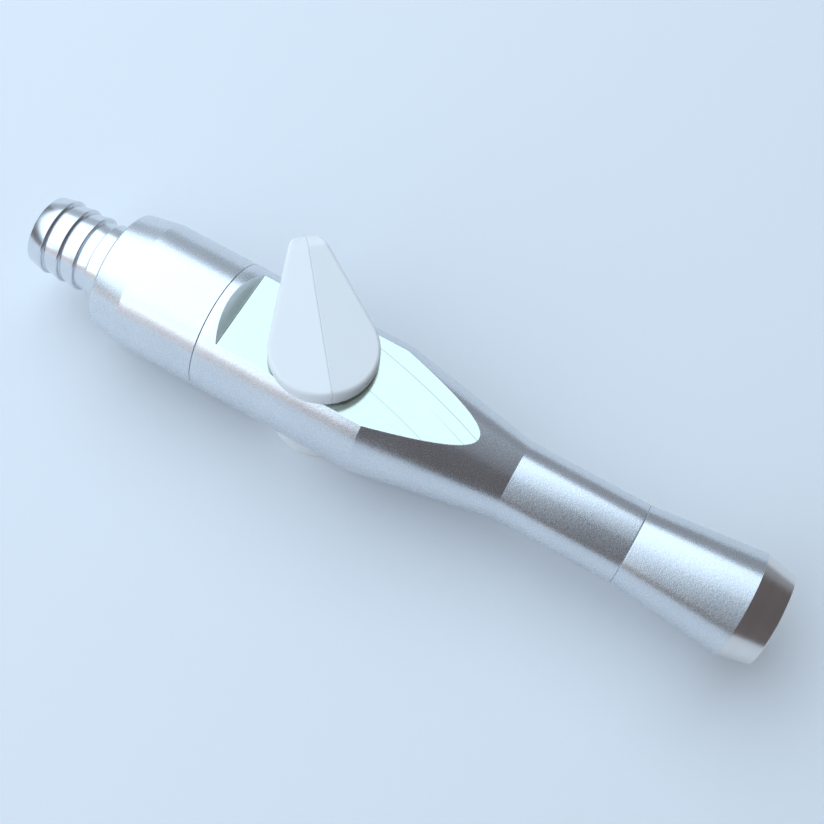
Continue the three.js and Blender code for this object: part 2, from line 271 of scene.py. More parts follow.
class Graph:
    """A material's node tree, with one method that makes any node."""

    def __init__(self, name):
        self.material = bpy.data.materials.new(name)
        self.material.use_nodes = True
        self.tree = self.material.node_tree
        self.tree.nodes.clear()
        self.output = self.tree.nodes.new("ShaderNodeOutputMaterial")

    def node(self, kind, settings=None, values=None):
        """Makes a node, sets it up, then fills its sockets with numbers or links."""
        made = self.tree.nodes.new(kind)
        for key, setting in (settings or {}).items():
            if key == "stops":
                self._stops(made.color_ramp, setting)
            else:
                setattr(made, key, setting)
        for key, value in (values or {}).items():
            socket = made.inputs[key]
            if isinstance(value, Value):
                self.tree.links.new(value.socket, socket)
            else:
                socket.default_value = value
        return [Value(self, socket) for socket in made.outputs if socket.enabled]

    @staticmethod
    def _stops(ramp, stops):
        while len(ramp.elements) < len(stops):
            ramp.elements.new(0.5)
        for element, (place, colour) in zip(ramp.elements, stops):
            element.position = place
            element.color = colour

    def place(self, origin=(0, 0, 0), scale=(1, 1, 1), turn=(0, 0, 0)):
        """Object coordinates, moved to an origin, turned and then stretched."""
        objects = self.node("ShaderNodeTexCoord")[3]
        moved = self.node(
            "ShaderNodeVectorMath", {"operation": "SUBTRACT"}, {0: objects, 1: origin}
        )[0]
        return self.node("ShaderNodeMapping", {}, {0: moved, 2: turn, 3: scale})[0]

    def parts(self, vector):
        """The three components of a vector."""
        return self.node("ShaderNodeSeparateXYZ", {}, {0: vector})

    def vector(self, x, y, z):
        return self.node("ShaderNodeCombineXYZ", {}, {0: x, 1: y, 2: z})[0]

    def noise(self, vector, scale, detail=2.0, roughness=0.5):
        """Smooth noise around 0.5."""
        values = {"Vector": vector, "Scale": scale, "Detail": detail, "Roughness": roughness}
        return self.node("ShaderNodeTexNoise", {}, values)[0]

    def ramp(self, value, stops):
        """A colour from a value, by (place, (r, g, b, 1)) stops."""
        return self.node("ShaderNodeValToRGB", {"stops": stops}, {0: value})[0]

    def step(self, value, low, high):
        """A smooth step: 0 where the value is below low, 1 where it is above high."""
        settings = {"interpolation_type": "SMOOTHSTEP"}
        return self.node("ShaderNodeMapRange", settings, {0: value, 1: low, 2: high})[0]

    def mix(self, factor, first, second):
        """A colour between two colours."""
        settings = {"data_type": "RGBA"}
        return self.node("ShaderNodeMix", settings, {0: factor, 6: first, 7: second})[0]

    def bump(self, height, distance):
        """A normal for a height from 0 to 1 that stands for a distance."""
        values = {"Strength": 1.0, "Distance": distance, "Height": height}
        return self.node("ShaderNodeBump", {}, values)[0]

    def finish(self, **sockets):
        """A Principled surface with these sockets, and the finished material."""
        names = {key.replace("_", " ").title().replace("Ior", "IOR"): value
                 for key, value in sockets.items()}
        surface = self.node("ShaderNodeBsdfPrincipled", {}, names)[0]
        self.tree.links.new(surface.socket, self.output.inputs["Surface"])
        return self.material


# %% [markdown]
# ## Bead-blasted aluminium
#
# Blasting leaves tiny overlapping dents, and anodising seals them with a hard satin skin. Two
# sizes of noise give the dents as height. The same noise lifts and lowers the roughness, so the
# grain sparkles in the half-lit places, and slow patches keep the sheen from being even. A
# noise's scale counts its cells in a metre, so 5600 makes dents a little under 0.2 mm wide.


# %% The blasted finish
def blasted_aluminium():
    graph = Graph("blasted aluminium")
    here = graph.place()
    dents = graph.noise(here, 5600, 2.0, 0.6)
    pits = graph.noise(here, 2600, 1.0, 0.5)
    patches = graph.noise(here, 140, 3.0, 0.55)
    marks = graph.noise(graph.place(scale=(900, 240, 240), turn=(0.3, 0.2, 0.5)), 1.0, 4.0, 0.6)
    scratch = graph.step(marks, 0.74, 0.78)
    tint = graph.ramp(patches, [(0.3, (0.74, 0.765, 0.80, 1)), (0.7, (0.80, 0.82, 0.85, 1))])
    colour = graph.mix(dents * 0.5, tint, (0.58, 0.59, 0.62, 1))
    rough = 0.27 + (dents - 0.5) * 0.16 + (patches - 0.5) * 0.05 + scratch * 0.05
    height = dents * 0.7 + pits * 0.6 - scratch * 0.4
    return graph.finish(
        base_color=colour,
        metallic=1.0,
        roughness=rough,
        normal=graph.bump(height, 8e-6),
    )


# %% [markdown]
# ## Turned and milled faces
#
# A lathe tool leaves a fine spiral: rings that are even all the way round and uneven along the
# feed. Noise that is stretched a hundredfold round the axis gives them. The feed runs along X on
# a cylinder and along the radius on an end face, so the rings are drawn over the sum of both.
# The mill's big cutter leaves long shallow arcs instead, all about one far centre.


# %% The turned and milled finishes
def lathe_rings(graph, pitch):
    """Noise that depends on station plus radius, and hardly on the angle."""
    x, y, z = graph.parts(graph.place(origin=(0, 0, AXIS_Z)))
    radius = (y * y + z * z) ** 0.5
    along = (x + radius * 0.97) * (1 / pitch)
    return graph.noise(graph.vector(along, y * 60, z * 60), 1.0, 3.0, 0.65)


def turned_metal(name, base, rough, pitch=0.00012, depth=2.2e-6):
    graph = Graph(name)
    rings = lathe_rings(graph, pitch)
    patches = graph.noise(graph.place(), 220, 3.0)
    darker = tuple(0.86 * part for part in base)
    return graph.finish(
        base_color=graph.mix(rings, (*darker, 1), (*base, 1)),
        metallic=1.0,
        roughness=rough + (rings - 0.5) * 0.08 + (patches - 0.5) * 0.05,
        normal=graph.bump(rings, depth),
    )


def milled_aluminium(name, low, high, rough):
    """Fine arcs about the cutter's centre, and here and there a deeper line."""
    graph = Graph(name)
    x, y, _ = graph.parts(graph.place(origin=(-0.012, -0.085, 0)))
    reach = (x * x + y * y) ** 0.5
    arcs = graph.noise(graph.vector(reach * 9000, x * 25, 0.0), 1.0, 2.0, 0.6)
    lines = graph.step(graph.noise(graph.vector(reach * 2300, x * 8, 0.0), 1.0, 1.0), 0.66, 0.72)
    patches = graph.noise(graph.place(), 160, 3.0)
    base = graph.mix(patches, (*low, 1), (*high, 1))
    return graph.finish(
        base_color=graph.mix(lines * 0.5 + arcs * 0.25, base, (0.36, 0.42, 0.42, 1)),
        metallic=1.0,
        roughness=rough + (arcs - 0.5) * 0.08 + lines * 0.08,
        normal=graph.bump(arcs * 0.6 - lines * 0.8, 1.2e-6),
    )


# %% [markdown]
# ## Plastics, rubber and ground steel
#
# The lever and cap are white mouldings: a fine eroded texture from the mould, a slight unevenness
# in the gloss, and a few handling marks that only show in a reflection.


# %% The other finishes
def white_plastic(name, shaded_parting_turn=None):
    """The white moulding. Where it has a parting, a grey hairline of painted shade runs through
    the origin along it, standing in for the shade in the parting's groove.
    """
    graph = Graph(name)
    here = graph.place()
    texture = graph.noise(here, 5200, 2.0)
    flow = graph.noise(here, 90, 3.0)
    scuffs = graph.step(graph.noise(graph.place(scale=(1400, 260, 700)), 1.0, 3.0), 0.68, 0.76)
    base = graph.mix(flow, (0.94, 0.935, 0.93, 1), (0.96, 0.955, 0.95, 1))
    if shaded_parting_turn is not None:
        x, y, _ = graph.parts(here)
        across = y * math.cos(shaded_parting_turn) - x * math.sin(shaded_parting_turn)
        # Painted shade: the colour turns grey along the parting, where its groove would lie in
        # shade.
        off_painted_shade = graph.step(across.size(), 0.00003, 0.00008)
        base = graph.mix(off_painted_shade, (0.74, 0.73, 0.72, 1), base)
    return graph.finish(
        base_color=base,
        roughness=0.42 + (texture - 0.5) * 0.12 + scuffs * 0.08,
        specular_ior_level=0.45,
        subsurface_weight=0.12,
        subsurface_radius=(0.6, 0.6, 0.6),
        subsurface_scale=0.001,
        normal=graph.bump(texture, 2.5e-6),
    )


def acetal():
    graph = Graph("natural acetal")
    rings = lathe_rings(graph, 0.0002)
    base = graph.mix(rings, (0.70, 0.66, 0.56, 1), (0.78, 0.74, 0.64, 1))
    return graph.finish(base_color=base, roughness=0.45 + rings * 0.1,
                        normal=graph.bump(rings, 3e-6))


def rubber():
    graph = Graph("seal rubber")
    speck = graph.noise(graph.place(), 4000, 3.0)
    base = graph.mix(speck, (0.012, 0.012, 0.013, 1), (0.028, 0.028, 0.03, 1))
    return graph.finish(base_color=base, roughness=0.55 + speck * 0.2,
                        normal=graph.bump(speck, 6e-6))


BLASTED = blasted_aluminium()
TAIL_METAL = turned_metal("turned tail", (0.80, 0.82, 0.85), 0.22)
CHAMFER_METAL = turned_metal("turned chamfer", (0.88, 0.84, 0.82), 0.22, depth=1.2e-6)
BORE_METAL = turned_metal("turned bore", (0.62, 0.63, 0.65), 0.3, pitch=0.0002)
STEEL = turned_metal("ground steel", (0.52, 0.53, 0.55), 0.28, pitch=0.00008)
MILLED = milled_aluminium("milled flat", (0.61, 0.69, 0.60), (0.65, 0.72, 0.63), 0.16)
# The rear wall is the same milled metal as the flat. Its lighter, bluer base is painted light: it
# stands for the brightness the wall catches from the lights.
MILLED_WALL_PAINTED_LIGHTER = milled_aluminium("milled wall painted lighter", (0.86, 0.90, 0.93), (0.90, 0.93, 0.96), 0.3)
WHITE = white_plastic("white moulding")
# The lever's moulding carries the grey line of painted shade along its parting.
LEVER_WHITE_SHADED_PARTING = white_plastic("white moulding with shaded parting", shaded_parting_turn=LEVER_TURN)
ACETAL = acetal()
RUBBER = rubber()
print("finishes:", [m.name for m in bpy.data.materials if m.use_nodes])

# %% [markdown]
# ## Finishes by face
#
# A piece can have several finishes. Which one a face takes is worked out from where the face is,
# after the materials are on the piece, because putting them on sets every face to the first.


# %% Dressing a piece
def dress(piece, *materials):
    """Gives a piece its materials, in the order of its faces' indices."""
    piece.data.materials.clear()
    for material in materials:
        piece.data.materials.append(material)


def face_centres(piece):
    centres = np.empty(len(piece.data.polygons) * 3)
    piece.data.polygons.foreach_get("center", centres)
    return centres.reshape(-1, 3)


def station_and_radius(piece):
    """Each face's station and distance from the axis, in millimetres."""
    centre = face_centres(piece)
    radius = np.hypot(centre[:, 1], centre[:, 2] - AXIS_Z) / MM
    return station(centre[:, 0]), radius


def choose_finish(piece, masks):
    """Gives the faces of each mask the next material, and all others the first."""
    index = np.select(masks, range(1, len(masks) + 1), 0)
    piece.data.polygons.foreach_set("material_index", index.astype(np.int32))


# %% [markdown]
# ## The hose tail
#
# Three barbs hold the hose: each rises slowly, so the hose slides on, and drops suddenly, so it
# can't come off. Behind them a collar runs in the sleeve, with a flange that two washers trap.

# %% Turning the tail
BARB_TOPS = (2.3, 4.75, 7.15)
BARB_R = 5.24
ROOT_R = 4.76
COLLAR_R = 5.15
NOSE_GROOVE_R = 3.5


def barb_corners(top):
    """The edge, its short drop and the root behind it, softest at the root."""
    return [(top, BARB_R, 0.06), (top + 0.14, BARB_R - 0.08, 0.05), (top + 0.2, ROOT_R, 0.08)]


tail_outline = rounded([
    (0, TAIL_BORE_R, 0.15), (0, 4.66, 0.22),
    *[corner for top in BARB_TOPS for corner in barb_corners(top)],
    (8.9, ROOT_R, 0.1), (9.05, COLLAR_R, 0.12), (13.8, COLLAR_R, 0.1),
    (13.8, FLANGE_R, 0.1), (15.8, FLANGE_R, 0.1), (15.8, NOSE_R, 0.1),
    (17.6, NOSE_R, 0.05), (17.6, NOSE_GROOVE_R, 0.05),
    (18.6, NOSE_GROOVE_R, 0.05), (18.6, NOSE_R, 0.05),
    (20.6, NOSE_R, 0.15), (20.6, FLOW_R, 0.15), (15.4, FLOW_R, 0.1), (14.9, TAIL_BORE_R, 0.1),
])
tail = turned("hose_tail", tail_outline)

# %% [markdown]
# ## The rear sleeve
#
# A thin blasted shell that screws over the body. Its rear end narrows in a short taper with a
# softly broken edge, and its front edge meets the body in a hairline seam.

# %% Turning the sleeve
SHOULDER = 16.4

sleeve_outline = rounded([
    (SLEEVE_REAR, SLEEVE_BORE_R, 0.12), (SLEEVE_REAR, 8.02, 0.3), (SHOULDER, TUBE_R, 0.35),
    (SLEEVE_FRONT, TUBE_R, 0.05), (SLEEVE_FRONT, CHAMBER_R, 0.1),
    (13.2, CHAMBER_R, 0.2), (13.2, SLEEVE_BORE_R, 0.12),
])
sleeve = turned("sleeve_shell", sleeve_outline, 320)

# %% [markdown]
# ## The nozzle
#
# It flares towards the mouth and ends in a long chamfer that was turned after blasting, so the
# chamfer is smoother and darker. Inside, two grooves hold the rings that grip the ejector tip.
# The finish changes at the chamfer's edge, so each face takes its material by its station.

# %% Turning the nozzle
CHAMFER_REAR = 100.9
WIDEST_R = 6.95
MOUTH_R = 6.1
GROOVE_FRONTS = (102.6, 97.6)
GROOVE_LENGTH = 1.4
NOZZLE_BORE_R = 4.45
NOZZLE_STEP = 91.2
SOCKET_FLOOR = 93.4


def ring_groove(front):
    """A groove in the socket, from its front edge back."""
    rear = front - GROOVE_LENGTH
    return [(front, SOCKET_R, 0.06), (front, SOCKET_GROOVE_R, 0.1),
            (rear, SOCKET_GROOVE_R, 0.1), (rear, SOCKET_R, 0.06)]


nozzle_outline = rounded([
    (NOZZLE_REAR, NOZZLE_BORE_R, 0.05), (NOZZLE_REAR, NECK_R, 0.13),
    (CHAMFER_REAR, WIDEST_R, 0.1), (LENGTH, MOUTH_R, 0.2), (LENGTH, SOCKET_R + 0.6, 0.1),
    (LENGTH - 0.8, SOCKET_R, 0.1),
    *[corner for front in GROOVE_FRONTS for corner in ring_groove(front)],
    (SOCKET_FLOOR, SOCKET_R, 0.1), (SOCKET_FLOOR, FLOW_R, 0.1),
    (NOZZLE_STEP, FLOW_R, 0.05), (NOZZLE_STEP, NOZZLE_BORE_R, 0.05),
])
nozzle = turned("nozzle_shell", nozzle_outline, 320)
nozzle_x, nozzle_r = station_and_radius(nozzle)
on_chamfer = (nozzle_x > CHAMFER_REAR) & (nozzle_r > SOCKET_GROOVE_R)
in_socket = (nozzle_r < FRONT_SPIGOT_R) | (nozzle_x > LENGTH - 0.05)
dress(nozzle, BLASTED, CHAMFER_METAL, BORE_METAL)
choose_finish(nozzle, [on_chamfer, in_socket])

# %% [markdown]
# ## The main body
#
# The body is turned too, but a flat is milled along its top. A section across it is a circle
# with its top cut off, so each row of the grid is drawn as that D shape: an arc from one corner
# of the flat round to the other, then the chord back. Where the flat runs out on the cone the
# chord shrinks to nothing and the row is a full circle. The flat's leaning rear wall is only a
# ceiling that climbs from the flat to the tube's top, so it needs no extra faces.

# %% The body's outline
FLAT_REAR = 29.95
FLAT_Z = 6.64
FLAT_FALL = 0.0094
WALL_LEAN = 0.6
CONE_REAR = 50.7
CONE_FRONT = 69.4
CORNER = 0.07
BODY_EDGE = SLEEVE_FRONT + SEAM


def flat_height(x):
    """The flat is FLAT_Z above the axis at the pivot and sinks a little towards the mouth."""
    return FLAT_Z - FLAT_FALL * (x - PIVOT)


def ceiling(x):
    """How high above the axis the milling left metal: the flat, and its rear wall, which rises
    one part for each WALL_LEAN back. A hair of blend rounds the foot."""
    climb = (FLAT_REAR - x) / WALL_LEAN
    blend = 0.12
    return flat_height(x) + 0.5 * (climb + np.sqrt(climb**2 + blend**2))


def outer_stations():
    """Stations of the outside, close together at the wall and where the flat runs out."""
    slope = (TUBE_R - NECK_R) / (CONE_FRONT - CONE_REAR)
    tip = (TUBE_R + slope * CONE_REAR - FLAT_Z - FLAT_FALL * PIVOT) / (slope - FLAT_FALL)
    run_out = tip - (tip - CONE_REAR) * np.linspace(1, 0, 70) ** 2
    wall = np.linspace(FLAT_REAR - 1.5, FLAT_REAR + 0.25, 70)
    return np.concatenate([wall, [33, 36, 39, 42, 45, 48], run_out[1:]])


def seal_groove(start, end, surface, floor):
    """A square groove in a spigot, as its four corners."""
    return [(start, surface, 0.05), (start, floor, 0.05), (end, floor, 0.05), (end, surface, 0.05)]


# Each end of both outlines is a corner that the other one draws, so its arc is left off.
outer_corners = rounded([
    (BODY_EDGE, SPIGOT_R, 0.02), (BODY_EDGE, TUBE_R, 0.06),
    (CONE_REAR, TUBE_R, 0.12), (CONE_FRONT, NECK_R, 0.4), (NOZZLE_REAR, NECK_R, 0.13),
    (NOZZLE_REAR, FRONT_SPIGOT_R, 0.02),
])[4:-4]
inner_corners = rounded([
    (NOZZLE_REAR, NECK_R, 0.02), (NOZZLE_REAR, FRONT_SPIGOT_R, 0.05),
    *seal_groove(87.6, 88.5, FRONT_SPIGOT_R, 3.75),
    (91, FRONT_SPIGOT_R, 0.1), (91, FLOW_R, 0.1), (23, FLOW_R, 0.1), (21.5, NOSE_R + 0.1, 0.1),
    (SHOULDER, NOSE_R + 0.1, 0.1), (SHOULDER, SPIGOT_R, 0.1),
    *seal_groove(24.9, 26, SPIGOT_R, 5.9),
    (BODY_EDGE, SPIGOT_R, 0.05), (BODY_EDGE, TUBE_R, 0.02),
])[4:-4]

extra = outer_stations()
extra_r = np.interp(extra, outer_corners[:, 0], outer_corners[:, 1])
outside = np.concatenate([outer_corners, np.stack([extra, extra_r], axis=-1)])
outside = outside[np.argsort(outside[:, 0], kind="stable")]
body_rows = np.concatenate([outside, inner_corners])
print(f"body: {len(outside)} outer rows, {len(inner_corners)} inner rows")


# %% Drawing the D-shaped rows
def d_rows(rows, cut, around=300, across=40, corner_steps=3):
    """Each row (x, r) as points (y, z) from the axis. The cut angle c has cos c = ceiling / r,
    or is 0 where the ceiling is above the metal. The arc runs from c to 2 pi - c, the chord
    between its ends, and a quadratic curve through each corner softens it."""
    radius = rows[:, 1:2]
    height = np.where(cut, ceiling(rows[:, 0]), 2 * TUBE_R)[:, None]
    angle = np.arccos(np.clip(height / radius, -1, 1))
    half = radius * np.sin(angle)
    step = np.minimum(CORNER / radius, 0.3 * angle)
    inset = np.minimum(CORNER, 0.3 * half)
    level = np.where(angle > 0, height, radius)
    sweep = (angle + step) + np.linspace(0, 1, around)[None, :] * 2 * (np.pi - angle - step)
    arc = np.stack([radius * np.sin(sweep), radius * np.cos(sweep)], axis=-1)
    along = np.linspace(-1, 1, across)[None, :]
    chord_y = (half - inset) * along
    chord = np.stack([chord_y, np.broadcast_to(level, chord_y.shape)], axis=-1)
    peak = np.stack([half, level], axis=-1)
    share = np.linspace(0, 1, corner_steps + 2)[1:-1][None, :, None]

    def bend(start, side, end):
        return (1 - share) ** 2 * start + 2 * share * (1 - share) * side + share**2 * end

    near = bend(arc[:, -1:], peak * [-1, 1], chord[:, :1])
    far = bend(chord[:, -1:], peak, arc[:, :1])
    return np.concatenate([arc, near, chord, far], axis=1)


is_outer = np.arange(len(body_rows)) < len(outside)
sections = d_rows(body_rows, is_outer)
rows, columns = sections.shape[:2]
grid_x = np.broadcast_to(body_rows[:, :1], (rows, columns))
body_points = np.concatenate([grid_x[..., None], sections], axis=-1) * MM
body_points = body_points.reshape(-1, 3) + np.array([REAR_X, 0, AXIS_Z])
body = mesh_object("valve_body", body_points, loop_faces(rows, columns))


# %% [markdown]
# ## Boring the body
#
# The valve's cross bore, the pocket for the bottom cap and the stop pin's hole are cut the way
# they are drilled: with a round tool driven through the finished outside.


# %% Drills and cuts
def post(name, x, y, low, high, radius, segments=128):
    """A closed cylinder standing on Z: radius times the sine and cosine of the angle."""
    angle = np.linspace(0, 2 * np.pi, segments, endpoint=False)
    ring = np.stack([x + radius * np.cos(angle), y + radius * np.sin(angle)], axis=-1)
    centre = np.broadcast_to([x, y], ring.shape)
    flat = np.stack([centre, ring, ring, centre])
    level = np.array([low, low, high, high])[:, None, None]
    points = np.concatenate([flat, np.broadcast_to(level, flat.shape[:2] + (1,))], axis=-1)
    return mesh_object(name, points.reshape(-1, 3) * MM, loop_faces(4, segments, False))


def drill(piece, *tools):
    """Cuts the tools out of the piece and removes them."""
    for tool in tools:
        cut = piece.modifiers.new("cut", "BOOLEAN")
        cut.operation = "DIFFERENCE"
        cut.solver = "EXACT"
        cut.object = tool
    view_layer = bpy.context.view_layer
    view_layer.update()
    ready = bpy.data.meshes.new_from_object(
        piece.evaluated_get(bpy.context.evaluated_depsgraph_get())
    )
    piece.modifiers.clear()
    piece.data = ready
    for tool in tools:
        bpy.data.objects.remove(tool)


CROSS_BORE_R = 4.25
POCKET_R = 7.1
PIN_HOLE_R = 0.58

axis = AXIS_Z / MM
pin_low, pin_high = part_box("stop_pin")
pin_x = (pin_low.x + pin_high.x) / 2 / MM
pin_y = (pin_low.y + pin_high.y) / 2 / MM
drill(
    body,
    post("cross_bore", 0, 0, axis - 7.5, axis + 7.5, CROSS_BORE_R),
    post("cap_pocket", 0, 0, axis - 12, axis - 7, POCKET_R),
    post("pin_hole", pin_x, pin_y, axis + 4.8, axis + 7.5, PIN_HOLE_R, 48),
)
smooth(body)

# %% [markdown]
# ## The milled faces
#
# A face was milled if it faces up and lies on the ceiling, within a hair, inside the blank.

# %% Choosing the body's finishes
HAIR = 0.02
SKIN = 0.012
WALL_LENGTH = 1.4
RUN_OUT_END = 66
LEAST_RISE = 0.35
MOST_SIDEWAYS = 0.05

body_x, body_r = station_and_radius(body)
normals = np.empty(len(body.data.polygons) * 3)
body.data.polygons.foreach_get("normal", normals)
normals = normals.reshape(-1, 3)
centre_z = face_centres(body)[:, 2] / MM - axis
facing_up = (normals[:, 2] > LEAST_RISE) & (np.abs(normals[:, 1]) < MOST_SIDEWAYS)
above_flat = centre_z > flat_height(body_x) - HAIR
below_ceiling = centre_z < np.minimum(ceiling(body_x), 2 * TUBE_R) + HAIR
in_length = (body_x > FLAT_REAR - WALL_LENGTH) & (body_x < RUN_OUT_END)
in_reach = in_length & (body_r < TUBE_R - SKIN)
milled = facing_up & above_flat & below_ceiling & in_reach
wall = milled & (body_x < FLAT_REAR - 0.03)
bored = (body_r < CROSS_BORE_R + 0.1) & ~milled
# The rear wall's faces take the milled finish painted lighter.
dress(body, BLASTED, MILLED_WALL_PAINTED_LIGHTER, MILLED, BORE_METAL)
choose_finish(body, [wall, milled, bored])
print("body faces:", len(body.data.polygons), "milled:", int(milled.sum()))

# %% [markdown]
# ## The thumb lever
#
# The lever is a drop-shaped moulding: a round end over the pivot, straight sides that run in to a
# blunt tip, and a top like a low roof. Its plan is a curve of points with outward directions, so
# every height is one ring of that curve pulled in along those directions: the rounded top edge,
# the side and the underside. The top fills in from the ridge to the first ring.

# %% The lever's plan
LEVER_R = 6.95
REACH = 16.25
TAPER = math.radians(18.5)
TIP_ROUND = 0.75
ROOF = math.tan(math.radians(7))
TIP_FALL = math.tan(math.radians(35))
TIP_FACET = 2.5
EDGE = 0.55
LOWER_EDGE = 0.15
LINE_DEPTH = 0.05
LINE_HALF = 0.045
RIDGE_Z = lever_high.z / MM
UNDER_Z = lever_low.z / MM


def lever_plan():
    """Points of the plan and their outward directions, in the lever's own frame with the tip
    along +x: the big arc, one straight side, a small arc at each corner of the tip, and back."""
    tip_half = LEVER_R / math.cos(TAPER) - REACH * math.tan(TAPER)
    side_share = np.linspace(-1, 1, 161)
    back = math.pi + (math.pi / 2 + TAPER) * np.sign(side_share) * np.abs(side_share) ** 1.6
    corner_turn = math.pi / 2 - TAPER
    shift = TIP_ROUND * math.tan(corner_turn / 2)
    centre = np.array([REACH - TIP_ROUND, tip_half - shift])
    low_arc = np.linspace(-math.pi / 2 + TAPER, 0, 14)
    high_arc = np.linspace(0, math.pi / 2 - TAPER, 14)

    def arc(turn, radius, middle):
        outward = np.stack([np.cos(turn), np.sin(turn)], axis=-1)
        return middle + radius * outward, outward

    def side(start, end, outward, count=60):
        share = np.linspace(0, 1, count)[1:-1, None]
        return start + (end - start) * share, np.broadcast_to(outward, (count - 2, 2))

    big = arc(back, LEVER_R, np.zeros(2))
    low = arc(low_arc, TIP_ROUND, centre * [1, -1])
    high = arc(high_arc, TIP_ROUND, centre)
    end = side(low[0][-1], high[0][0], np.array([1.0, 0.0]), 16)
    down = side(big[0][-1], low[0][0], low[1][0])
    up = side(high[0][-1], big[0][0], high[1][-1])
    stretches = [big, down, low, end, high, up]
    return tuple(np.concatenate([s[i] for s in stretches]) for i in (0, 1))


def roof(x, y):
    """The top's height: the ridge less a slope each way, and the tip's facet, whichever is
    lower, with a narrow blend between them."""
    ridge = RIDGE_Z - ROOF * np.abs(y) - parting(y)
    facet = RIDGE_Z - TIP_FALL * (x - (REACH - TIP_FACET))
    gap = ridge - facet
    return ridge - 0.5 * (gap + np.sqrt(gap**2 + 0.05**2))


def parting(y):
    """Depth of the hairline that the mould's two halves leave along the ridge."""
    return LINE_DEPTH * np.exp(-((y / LINE_HALF) ** 2))


# %% The lever's rings
def lever_rings():
    """Rings of (x, y, z): the top from the ridge line outwards, a quarter circle over the edge,
    the side, and the underside back to the middle line."""
    plan, outward = lever_plan()
    at_back = plan[:, 0] < 0
    plan = plan - (at_back * parting(plan[:, 1]))[:, None] * outward
    rim = plan - EDGE * outward
    spine = rim * [1, 0]
    rings = []
    for share in np.linspace(0, 1, 34) ** 2:
        ring = spine + share * (rim - spine)
        rings.append(np.column_stack([ring, roof(ring[:, 0], ring[:, 1])]))
    rim_z = roof(rim[:, 0], rim[:, 1])
    for turn in np.linspace(0, math.pi / 2, 9)[1:]:
        ring = rim + EDGE * math.sin(turn) * outward
        rings.append(np.column_stack([ring, rim_z - EDGE * (1 - math.cos(turn))]))
    for turn in np.linspace(0, math.pi / 2, 4):
        ring = plan - LOWER_EDGE * (1 - math.cos(turn)) * outward
        level = np.full(len(ring), UNDER_Z + LOWER_EDGE * (1 - math.sin(turn)))
        rings.append(np.column_stack([ring, level]))
    for share in (0.66, 0.33, 0.0):
        ring = spine + share * (plan - LOWER_EDGE * outward - spine)
        rings.append(np.column_stack([ring, np.full(len(ring), UNDER_Z)]))
    return np.stack(rings)


rings = lever_rings()
turned_x = rings[..., 0] * math.cos(LEVER_TURN) - rings[..., 1] * math.sin(LEVER_TURN)
turned_y = rings[..., 0] * math.sin(LEVER_TURN) + rings[..., 1] * math.cos(LEVER_TURN)
lever_points = np.stack([turned_x, turned_y, rings[..., 2]], axis=-1).reshape(-1, 3) * MM
lever = mesh_object(
    "thumb_lever", lever_points, loop_faces(rings.shape[0], rings.shape[1], close_rows=False)
)
smooth(lever)
dress(lever, LEVER_WHITE_SHADED_PARTING)
print("lever faces:", len(lever.data.polygons))


# %% [markdown]
# ## The bottom cap and the tip's gripping rings
#
# The cap is a shallow cup, turned about the valve's axis this time, with a softly rounded rim.
# The two rings in the nozzle are what is seen first in its mouth, so they get a true round
# section.


# %% The cap and the rings
def turned_upright(name, outline, segments=192):
    """A surface of revolution about Z: (r, z) goes to (r cos a, r sin a, z)."""
    angle = np.linspace(0, 2 * np.pi, segments, endpoint=False)[None, :]
    radius = outline[:, :1]
    z = np.broadcast_to(outline[:, 1:], (len(outline), segments))
    points = np.stack([radius * np.cos(angle), radius * np.sin(angle), z], axis=-1) * MM
    return smooth(mesh_object(name, points.reshape(-1, 3), loop_faces(len(outline), segments)))


CAP_R = (cap_high.x - cap_low.x) / 2 / MM
CAP_TOP = cap_high.z / MM
CAP_INSIDE_R = CAP_R - 0.7
CAP_FLOOR = 0.75
POLE_R = 0.001
cap_outline = rounded([
    (POLE_R, 0, 0), (CAP_R, 0, 0.5), (CAP_R, CAP_TOP, 0.08), (CAP_INSIDE_R, CAP_TOP, 0.08),
    (CAP_INSIDE_R, CAP_FLOOR, 0.2), (POLE_R, CAP_FLOOR, 0),
], 7)
cap = turned_upright("underside_cap", cap_outline)
dress(cap, WHITE)


def o_ring(name, node):
    """A ring with a round section, sized by its node's box."""
    low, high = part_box(node)
    section = (high.x - low.x) / 2 / math.cos(math.pi / 6) / MM
    middle = station((low.x + high.x) / 2)
    centre_r = (high.z - low.z) / 2 / MM - section
    turn = np.linspace(0, 2 * np.pi, 24, endpoint=False)
    outline = np.stack(
        [middle + section * np.cos(turn), centre_r + section * np.sin(turn)], axis=-1
    )
    ring = turned(name, outline, 128)
    dress(ring, RUBBER)
    return ring


front_ring = o_ring("grip_ring_front", "tip_o_ring_front")
rear_ring = o_ring("grip_ring_rear", "tip_o_ring_rear")
dress(tail, TAIL_METAL)
dress(sleeve, BLASTED)

# %% [markdown]
# ## Which body each piece moves with
#
# A piece that stands for a node of the model hides it and moves with its body. The inner pieces
# that nobody sees whole stay as the model has them, and get their metals, plastics and rubber.

# %% Riding, replacing and dressing
PIECES = [
    (tail, "tail", "tail_barb", "turned_metal"),
    (sleeve, "body", "rear_sleeve", "blasted_aluminium"),
    (nozzle, "body", "front_nozzle", "blasted_aluminium"),
    (body, "body", "main_body", "blasted_aluminium"),
    (cap, "body", "bottom_cap", "white_plastic"),
    (front_ring, "body", "tip_o_ring_front", "rubber"),
    (rear_ring, "body", "tip_o_ring_rear", "rubber"),
    (lever, "valve", "lever", "white_plastic"),
]
for piece, rider, node, slot in PIECES:
    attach(piece, rider)
    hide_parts(node)

